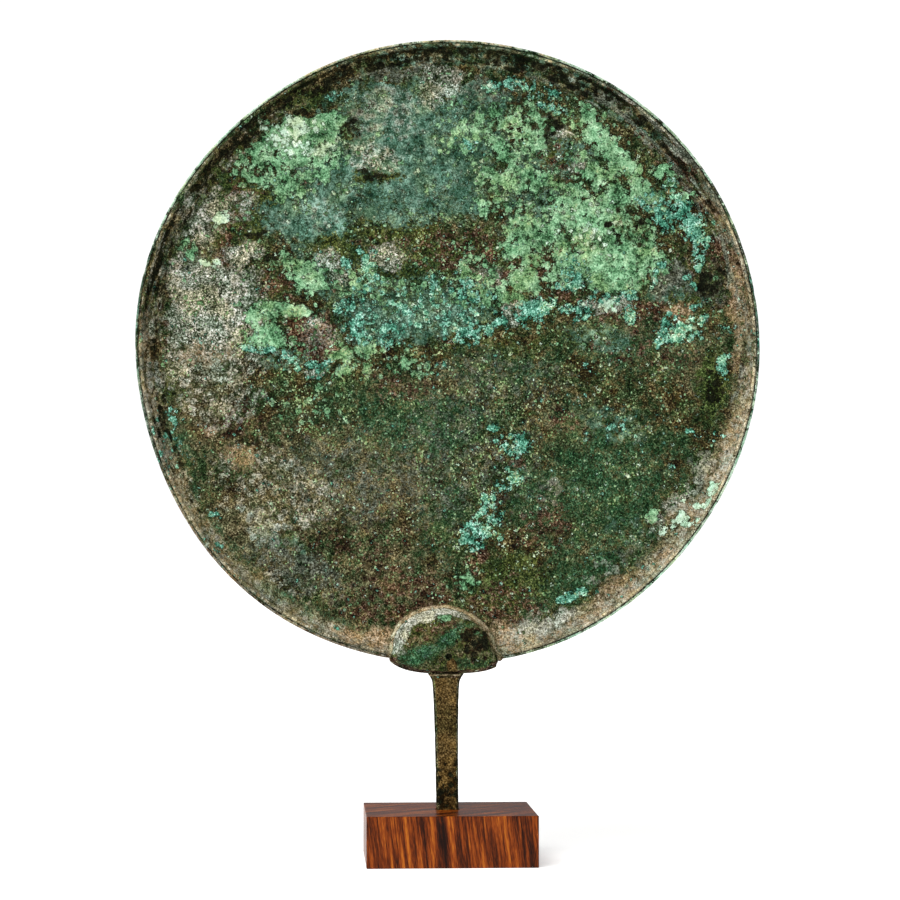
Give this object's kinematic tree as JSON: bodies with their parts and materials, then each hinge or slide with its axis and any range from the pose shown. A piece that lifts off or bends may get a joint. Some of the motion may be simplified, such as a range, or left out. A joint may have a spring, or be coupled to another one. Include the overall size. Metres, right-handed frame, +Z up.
{
  "type": "ancient bronze mirror",
  "caption": "Round bronze mirror with a raised rim and a lobed boss over its tang, standing upright in a small polished wooden display block.",
  "frame": {"origin": "centre of the display block's underside, on the surface that it stands on", "axes": "+Z up along the tang, +X to the right as the rimmed face is seen, and the rimmed face looks towards -Y"},
  "size_m": [0.2201, 0.05, 0.2887],
  "materials": {
    "patinated_bronze": "matt corroded bronze: pale green malachite crust over dark olive-brown, tan along the rim",
    "polished_rosewood": "dark red-brown striped wood, polished"
  },
  "bodies": {
    "root": {"mirror": "patinated_bronze", "display_block": "polished_rosewood"}
  },
  "joints": []
}
